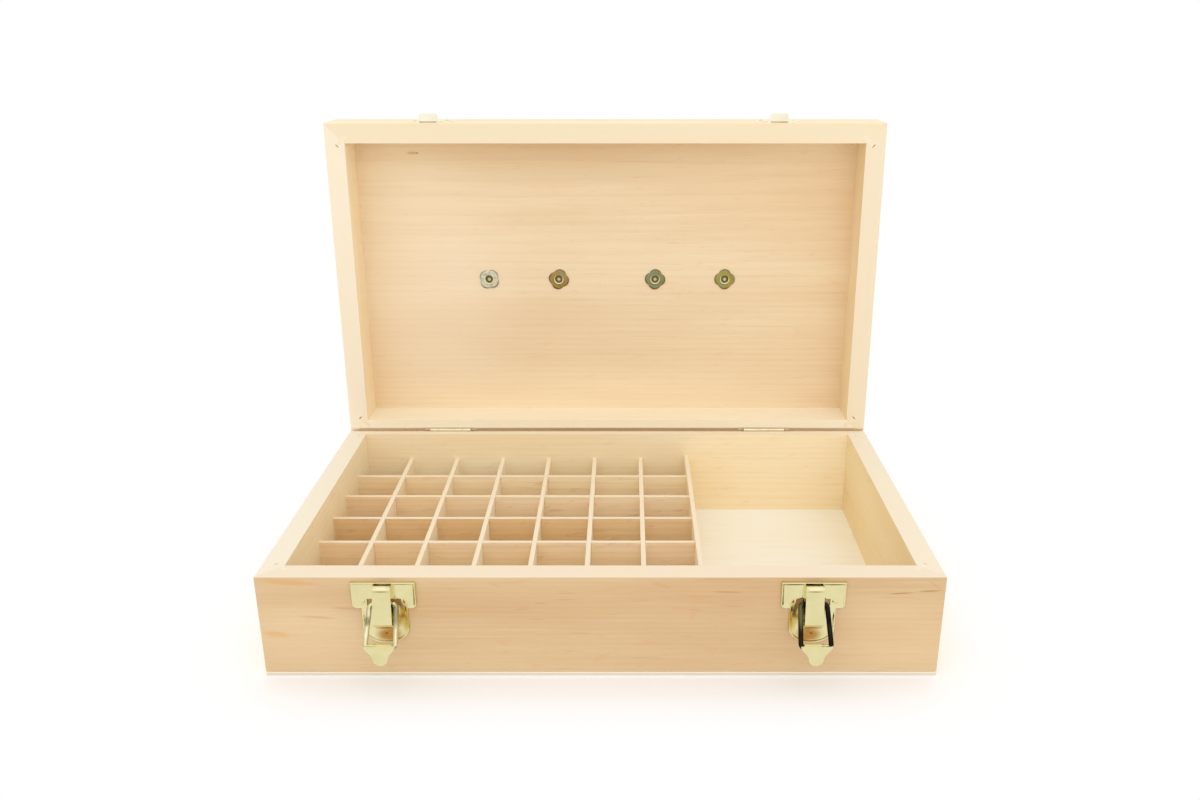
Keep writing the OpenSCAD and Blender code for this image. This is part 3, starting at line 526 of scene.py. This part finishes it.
def screw_steel(name):
    """Plated machine screws. The end of each, deep in its nut, is chamfered; a dark ring painted round it, a
    painted shade, leaves a small light dot in the middle."""
    made, tree, skin = new_material(name)
    place = as_cut(tree, True)
    grit = add(
        tree, "ShaderNodeTexNoise", None, Vector=place, Scale=1 / (0.8 * MM), Detail=2.0,
    ).outputs["Fac"]
    base = add(
        tree, "ShaderNodeValToRGB", {"stops": ((0.3, "#B5AB8A"), (0.7, "#DAD2B4"))}, Fac=grit,
    ).outputs["Color"]
    ring = stained(tree, base, from_nut(tree, place), 0.7 * MM, 1.6 * MM, 0.95, "#6E6034")
    height = add(tree, "ShaderNodeSeparateXYZ", None, Vector=place).outputs["Z"]
    inside = add(
        tree, "ShaderNodeMath", {"operation": "LESS_THAN"}, i0=height, i1=(PANEL_Z + 1) * MM,
    ).outputs[0]
    base = add(tree, "ShaderNodeMix", {"data_type": "RGBA"}, i0=inside, i6=base, i7=ring).outputs[2]
    tree.links.new(base, skin.inputs["Base Color"])
    skin.inputs["Metallic"].default_value = 1.0
    skin.inputs["Roughness"].default_value = 0.3
    return made


def plate_painted_light(side, inward):
    """Painted light on a latch: on the strap a bright hem, a painted highlight, with a dark line under it, a
    painted shadow, and a warm bend, a painted highlight. Deep gold between the loop's legs below the strap,
    and beside the leg nearer the box's middle: painted shade and painted reflection."""
    x, strap = LATCH_X[side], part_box(f"{side}_latch_strap")[0][1] / MM
    return (
        ((x + 1.6 * inward, LATCH_FACE, LATCH_TOP - 34.8), 20, 14, 0, 0.95, "#B4823A"),
        ((x + 4.4 * inward, LATCH_FACE, LATCH_TOP - 36.5), 9, 8, 0, 0.5, "#B47A30"),
        ((x + 11.6 * inward, LATCH_FACE, LATCH_TOP - 22.5), 7.5, 28, 0, 0.85, "#D0A850"),
        ((x + 12.4 * inward, LATCH_FACE, LATCH_TOP - 28.0), 4.5, 12, 0, 0.7, "#C4B458"),
        ((x, strap, LATCH_TOP - 1.4), 14, 3.6, 0, 0.9, "#FFF3C6"),
        ((x, strap, LATCH_TOP - 3.3), 14, 1.2, 0, 0.85, "#7E7244"),
        ((x, strap, LATCH_TOP - 26.4), 18, 3.6, 0, 0.85, "#F0CC88"),
    )


# A painted shade: a dark line under the right plate's rounded top edge, on each side of the strap. The left
# plate has none.
RIM_SHADES = {
    "left": (),
    "right": tuple(
        ((LATCH_X["right"] + dx, LATCH_FACE - 1.4, LATCH_TOP - 1.5), 18, 1.3, 0, 0.9, "#5A4A20")
        for dx in (-12.4, 11.8)
    ),
}


# Painted reflections on the wire loops: how far inward from the middle, the share of the way down, length,
# height and strength. On the blackened wire only the first one shows.
WIRE_PAINTED_REFLECTIONS = {
    "left": (
        (8.2, 0.2, 5, 18, 0.8), (-8.4, 0.36, 5, 6.5, 0.85), (8.6, 1.0, 9, 3.4, 0.8), (-8.6, 1.0, 9, 3.4, 0.8),
    ),
    "right": ((8.2, 0.2, 5, 18, 0.8),),
}


def wire_painted_reflections(side, inward, reflected_dark):
    """Painted reflections: dark stretches where a loop's legs come out of the plate, standing for its dark
    windows mirrored in them, and at their ends in the lever."""
    pivot, lever = (Vector(joint(f"{side}_{end}_swing")["pos_m"]) / MM for end in ("loop", "lever"))
    return tuple(
        (pivot.lerp(lever, share) + Vector((dx * inward, 0, 0)), length, height, 0, strength, reflected_dark)
        for dx, share, length, height, strength in WIRE_PAINTED_REFLECTIONS[side]
    )


# The latches and the handle: bright brass plating, pale gold and almost a mirror.
BRIGHT = ("#E9DFAC", "#E1D7A0", 0.16)
BRASS = plated_steel("bright_brass_plated_steel", *BRIGHT)
# Each latch's plating carries its painted light: shades, highlights and reflections painted into its colour.
LATCH_BRASS = {
    side: plated_steel(
        f"{side}_latch_brass_plating", *BRIGHT, spots=plate_painted_light(side, inward) + RIM_SHADES[side],
    )
    for side, inward in INWARD.items()
}
# Rivet heads, set by a punch that left them duller than the plate.
RIVET = plated_steel("dull_plated_rivet", "#DDD3A2", "#C8BD8A", 0.3)
# Hinge leaves and pins, tumbled after plating: paler and softer than the latches.
LEAF = plated_steel("dull_brass_plated_steel", "#F2E8C8", "#E8DCB8", 0.4)
# The loops' wire. The left one is drawn bright and plated, a small sharp mirror.
WIRE = plated_steel("bright_plated_wire", "#E6DDB4", "#C6C098", 0.14, spots=wire_painted_reflections("left", 1, "#7C7856"))
# The right one is blackened steel, nearly black, with a thin light along it.
DARK_WIRE = plated_steel(
    "blackened_wire", "#2C2620", "#181410", 0.26, spots=wire_painted_reflections("right", -1, "#6A6646"),
)
# Keepers and handle brackets: pale satin plating, with a wide soft light in place of a mirror.
SATIN = plated_steel("satin_plated_steel", "#FFFBE6", "#F6EFD2", 0.5)
SCREW = screw_steel("plated_screw_steel")
ZINC = yellow_zinc("yellow_passivated_zinc")

for side in INWARD:
    for part in ("hinge_base_leaf", "hinge_lid_leaf", "hinge_pin"):
        paint(f"{side}_{part}", LEAF)
    for part in ("latch_plate", "latch_strap", "latch_rivets"):
        paint(f"{side}_{part}", LATCH_BRASS[side])
    paint(f"{side}_latch_lever", BRASS)
    for part in ("keeper", "handle_bracket"):
        paint(f"{side}_{part}", SATIN)
    paint(f"{side}_keeper_rivets", RIVET)
paint("handle_bail", BRASS)
paint("left_latch_loop", WIRE)
paint("right_latch_loop", DARK_WIRE)
paint("handle_screws", SCREW)
paint("t_nuts", ZINC)


# ---- pieces drawn finer than the frame has them ----


def piece(name, points, faces, finish, body, stands_for, crease=35):
    """Makes an object of points in metres and arrays of faces, joins it to its body, and hides the frame's
    node that it stands for."""
    mesh = bpy.data.meshes.new(name)
    mesh.from_pydata(points.tolist(), [], [face for block in faces for face in block.tolist()])
    mesh.update()
    mesh.shade_smooth()
    mesh.set_sharp_from_angle(angle=math.radians(crease))
    mesh.materials.append(finish)
    made = bpy.data.objects.new(name, mesh)
    bpy.context.scene.collection.objects.link(made)
    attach(made, body)
    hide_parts(stands_for)
    return made


def quads(rows, columns, closed_rows=False):
    """The four-cornered faces between neighbouring rings of points; each ring is closed, and on request so is
    the row of rings."""
    i, j = np.meshgrid(np.arange(rows if closed_rows else rows - 1), np.arange(columns), indexing="ij")
    i2, j2 = (i + 1) % rows, (j + 1) % columns
    return np.stack(
        [i * columns + j, i2 * columns + j, i2 * columns + j2, i * columns + j2], -1,
    ).reshape(-1, 4)


# The latch plate, in millimetres from its top middle: widths, heights and corner radii of its outline.
PLATE_W, PLATE_H, SHOULDER_H, TAIL_W, TAIL_ROUND, CORNER_R = 38.4, 41.0, 17.5, 27.8, 10.0, 3.0
# Its windows: how far below the top they are centred, and their width and height.
WINDOW_DROP, WINDOW_W, WINDOW_H = 13.2, 3.8, 4.4
# Its rim: how far in from the edge, how far off the wood, and how much more it stands out along the top.
RIM_IN = np.array([0.0, 0.0, 0.12, 0.4, 0.8, 1.2, 1.6, 2.0])
RIM_OUT = np.array([0.0, 0.7, 1.05, 1.36, 1.42, 1.28, 1.08, 1.0])
RIM_EXTRA = np.array([0.0, 0.3, 0.42, 0.46, 0.36, 0.0, 0.0, 0.0])


def plate_ring(inset):
    """One turn round the plate's outline, drawn in by inset: straight edges, a quarter circle at each
    shoulder, and half an ellipse as its lower end."""
    w, t, r = PLATE_W / 2 - inset, TAIL_W / 2 - inset, CORNER_R - inset
    turn = np.linspace(0, math.pi / 2, 13)
    shoulder = np.stack([w - r + r * np.cos(turn), inset + r - SHOULDER_H - r * np.sin(turn)], 1)
    end = np.stack([t * np.cos(turn), TAIL_ROUND - PLATE_H - (TAIL_ROUND - inset) * np.sin(turn)], 1)
    half = np.vstack([[[w, -inset]], shoulder, [[t, inset - SHOULDER_H]], end])
    return np.vstack([half, half[-2::-1] * (-1, 1)])


def latch_plate(side):
    """A stamped plate as a stack of ever smaller rings, from the wood over a rounded rim to the flat inside,
    which has a window on each side of the strap. Behind them is a flat back."""
    low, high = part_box(f"{side}_latch_plate")
    rings = np.stack([plate_ring(inset) for inset in RIM_IN])
    stack, count = rings.shape[:2]
    at_top = rings[..., 1] > -RIM_IN[:, None] - 0.01
    out = RIM_OUT[:, None] + RIM_EXTRA[:, None] * at_top
    rim = np.stack([rings[..., 0], -out, rings[..., 1]], -1).reshape(-1, 3)
    window = np.array([(-1, 1), (1, 1), (1, -1), (-1, -1)]) * (WINDOW_W / 2, WINDOW_H / 2)
    windows = np.stack([window + (x, -WINDOW_DROP) for x in (-WINDOW_X, WINDOW_X)])
    front, back = (np.insert(windows.reshape(-1, 2), 1, y, axis=1) for y in (-RIM_OUT[-1], 0))
    points = np.vstack([rim, front, back])
    # Triangles fill the smallest ring in front and the largest one behind, round the windows.
    at_front, at_back, inner = len(rim), len(rim) + len(front), (stack - 1) * count
    filled = [
        np.array(tessellate_polygon([ring.tolist(), *windows.tolist()])) for ring in (rings[-1], rings[0])
    ]
    filled[0] = np.where(filled[0] < count, filled[0] + inner, filled[0] - count + at_front)
    filled[1] = np.where(filled[1] < count, filled[1], filled[1] - count + at_back)[:, ::-1]
    # A window's four walls join its corners in front to those behind.
    corner = np.arange(len(front))
    after = corner // 4 * 4 + (corner + 1) % 4
    walls = np.stack([at_front + corner, at_front + after, at_back + after, at_back + corner], 1)
    place = np.array([(low[0] + high[0]) / 2, -CASE_D / 2, high[2]])
    return points * MM + place, [quads(stack, count), *filled, walls]


# The wire loop, in millimetres: half its width at the top and at the bottom, and the radii of its bends and
# its wire.
LOOP_TOP, LOOP_LOW, LOOP_BEND, WIRE_R = 7.8, 8.9, 2.3, 1.5
# Points along each bend, round the wire and round a nut.
BEND_STEPS, WIRE_SIDES, NUT_SIDES = 11, 20, 96


def wire_loop(side):
    """A bent wire: a circle carried along a closed line of four straights joined by arcs. The line lies in a
    plane that leans out from the wood by the loop's angle at rest."""
    pivot = np.array(joint(f"{side}_loop_swing")["pos_m"])
    down = np.array(joint(f"{side}_lever_swing")["pos_m"]) - pivot
    reach = np.linalg.norm(down)
    down /= reach
    across = np.array([1.0, 0.0, 0.0])
    top, low, bend, radius = (size * MM for size in (LOOP_TOP, LOOP_LOW, LOOP_BEND, WIRE_R))
    corners = np.array([[-top, 0], [top, 0], [low, reach], [-low, reach]])
    line = []
    for k in range(4):
        to_last, to_next = corners[k - 1] - corners[k], corners[(k + 1) % 4] - corners[k]
        to_last, to_next = to_last / np.linalg.norm(to_last), to_next / np.linalg.norm(to_next)
        half = math.acos(float(to_last @ to_next)) / 2
        middle = corners[k] + (to_last + to_next) / np.linalg.norm(to_last + to_next) * bend / math.sin(half)
        start, end = (corners[k] + to * bend / math.tan(half) - middle for to in (to_last, to_next))
        share = np.linspace(0, 1, BEND_STEPS)[:, None]
        swept = math.pi - 2 * half
        arc = start * np.sin((1 - share) * swept) + end * np.sin(share * swept)
        line.append(middle + arc / math.sin(swept))
    line = np.vstack(line)
    centre = pivot + line[:, :1] * across + line[:, 1:] * down
    along = np.roll(centre, -1, 0) - np.roll(centre, 1, 0)
    along /= np.linalg.norm(along, axis=1)[:, None]
    normal = np.cross(across, down)
    beside = np.cross(along, normal)
    turn = np.linspace(0, 2 * math.pi, WIRE_SIDES, endpoint=False)[None, :, None]
    points = centre[:, None] + radius * (np.cos(turn) * beside[:, None] + np.sin(turn) * normal)
    return points.reshape(-1, 3), [quads(len(centre), WIRE_SIDES, True)]


# A T-nut, in millimetres. Its outline is four circles of one radius, each this far out from the axis. Its
# edge is given by share of that outline and height, its mouth by distance from the axis and height, and
# NUT_TURNS says by how many degrees each nut of the row is turned.
NUT_LOBE_R, NUT_LOBE_OUT = 4.94, 3.04
NUT_EDGE = np.array([(1.0, 0.0), (1.0, 0.45), (0.975, 0.8), (0.92, 1.02), (0.84, 1.1), (0.7, 1.06)])
NUT_MOUTH = np.array(
    [(3.7, 1.06), (3.4, 1.16), (3.1, 1.1), (2.8, 0.86), (2.6, 0.44), (2.5, 0.0), (2.5, -0.4), (2.6, -0.6),
     (2.6, -3.0), (3.2, -3.0)]
)
NUT_TURNS = (40, 15, 5, 0)


def t_nuts():
    """Four pressed nuts. Each is a stack of rings from its rounded edge, which follows the outer one of four
    circles, over its flange into a trumpet-shaped mouth, and back along its barrel."""
    turn = np.linspace(0, 2 * math.pi, NUT_SIDES, endpoint=False)
    folded = (turn + math.pi / 4) % (math.pi / 2) - math.pi / 4
    edge = NUT_LOBE_OUT * np.cos(folded) + np.sqrt(NUT_LOBE_R**2 - (NUT_LOBE_OUT * np.sin(folded)) ** 2)
    radius = np.vstack([np.outer(NUT_EDGE[:, 0], edge), np.repeat(NUT_MOUTH[:, :1], NUT_SIDES, 1)])
    height = np.hstack([NUT_EDGE[:, 1], NUT_MOUTH[:, 1]])[:, None] + 0 * radius
    lift = np.array(Matrix.Rotation(-OPEN, 3, "X"))
    points, faces = [], []
    for k, (x, turned) in enumerate(zip(NUT_X, NUT_TURNS)):
        angle = turn + math.radians(turned)
        shut = np.stack([x + radius * np.cos(angle), radius * np.sin(angle), PANEL_Z - height], -1)
        points.append((shut.reshape(-1, 3) * MM - np.array(AXIS)) @ lift.T + np.array(AXIS))
        faces.append(quads(len(radius), NUT_SIDES, True) + k * radius.size)
    return np.vstack(points), faces


for side, finish, slot_name in (
    ("left", WIRE, "bright_plated_wire"), ("right", DARK_WIRE, "dark_plated_wire"),
):
    points, faces = latch_plate(side)
    piece(
        f"{side}_rimmed_latch_plate", points, faces, LATCH_BRASS[side], "base",
        f"{side}_latch_plate",
    )
    points, faces = wire_loop(side)
    piece(
        f"{side}_bent_latch_wire", points, faces, finish, f"{side}_loop",
        f"{side}_latch_loop", 180,
    )
points, faces = t_nuts()
piece("pressed_t_nuts", points, faces, ZINC, "lid", "t_nuts", 50)


# ---- floor, light and camera ----


def seen_or_mirrored(tree):
    """1 for a ray from the camera, off a shiny surface or through a clear one, else 0."""
    rays = add(tree, "ShaderNodeLightPath").outputs
    some = add(
        tree, "ShaderNodeMath", {"operation": "MAXIMUM"}, i0=rays["Is Camera Ray"], i1=rays["Is Glossy Ray"],
    ).outputs[0]
    return add(
        tree, "ShaderNodeMath", {"operation": "MAXIMUM"}, i0=some, i1=rays["Is Transmission Ray"],
    ).outputs[0]


# How far from the case the floor still shows its shadow, and how far the floor reaches, in metres.
SHADOW_REACH, FLOOR_REACH = 0.07, 9.0


def floor():
    """A level square of floor. Near the object it is matt and keeps the object's shadow, and further out it
    passes smoothly into plain white, for the camera and in shiny metal."""
    made, tree, skin = new_material("pale_floor")
    place = add(tree, "ShaderNodeTexCoord").outputs["Object"]
    beside = beyond(tree, place, (CASE_W / 2, CASE_D / 2, 0))
    far = add(tree, "ShaderNodeVectorMath", {"operation": "LENGTH"}, i0=beside).outputs["Value"]
    away = add(
        tree, "ShaderNodeMapRange", {"interpolation_type": "SMOOTHSTEP"}, i0=far, i1=0.0, i2=SHADOW_REACH,
    ).outputs["Result"]
    skin.inputs["Base Color"].default_value = linear("#FCFCFC")
    skin.inputs["Roughness"].default_value = 0.9
    skin.inputs["Specular IOR Level"].default_value = 0.1
    white = add(tree, "ShaderNodeEmission", None, Color=linear("#FFFFFF"), Strength=1.0)
    share = add(
        tree, "ShaderNodeMath", {"operation": "MULTIPLY"}, i0=away, i1=seen_or_mirrored(tree),
    ).outputs[0]
    both = add(tree, "ShaderNodeMixShader", None, i0=share, i1=skin.outputs[0], i2=white.outputs[0])
    tree.links.new(both.outputs[0], tree.nodes["Material Output"].inputs["Surface"])
    mesh = bpy.data.meshes.new("floor")
    corners = [(x * FLOOR_REACH, y * FLOOR_REACH, 0) for x, y in ((-1, -1), (1, -1), (1, 1), (-1, 1))]
    mesh.from_pydata(corners, [], [(0, 1, 2, 3)])
    mesh.materials.append(made)
    laid = bpy.data.objects.new("floor", mesh)
    bpy.context.scene.collection.objects.link(laid)


def surround(strength):
    """An even pale surround, pure white where the camera or a shiny surface sees it."""
    made = bpy.data.worlds.new("surround")
    made.use_nodes = True
    tree = made.node_tree
    tree.nodes.clear()
    even = add(tree, "ShaderNodeBackground", None, Color=linear("#FFFFFF"), Strength=strength)
    white = add(tree, "ShaderNodeBackground", None, Color=linear("#FFFFFF"), Strength=1.0)
    both = add(
        tree, "ShaderNodeMixShader", None, i0=seen_or_mirrored(tree), i1=even.outputs[0], i2=white.outputs[0],
    )
    add(tree, "ShaderNodeOutputWorld", None, Surface=both.outputs[0])
    bpy.context.scene.world = made


def soft_box(name, place, aim, size, watts):
    """A rectangular lamp at place that faces aim."""
    data = bpy.data.lights.new(name, "AREA")
    data.shape = "RECTANGLE"
    data.size, data.size_y = size
    data.energy = watts
    made = bpy.data.objects.new(name, data)
    made.location = place
    made.rotation_euler = (Vector(aim) - Vector(place)).to_track_quat("-Z", "Y").to_euler()
    bpy.context.scene.collection.objects.link(made)


def camera(place, down, lens, shift):
    """The camera, level from side to side. Its place is in metres, its tilt in degrees and its lens in
    millimetres."""
    data = bpy.data.cameras.new("view")
    data.lens = lens
    data.shift_x, data.shift_y = shift
    made = bpy.data.objects.new("view", data)
    made.location = place
    made.rotation_euler = (math.radians(90 - down), 0, 0)
    bpy.context.scene.collection.objects.link(made)
    bpy.context.scene.camera = made


# Plain light, at which a colour renders about as it is written: an even surround and one wide lamp in front.
floor()
surround(strength=1.03)
soft_box("front_box", place=(0.1, -1.2, 1.25), aim=(0, 0, 0.05), size=(1.6, 1.4), watts=3.2)
camera(place=(0.01557, -0.67324, 0.37707), down=20.343, lens=32.084, shift=(-0.0224, 0.0088))
bpy.context.scene.view_settings.view_transform = "Standard"
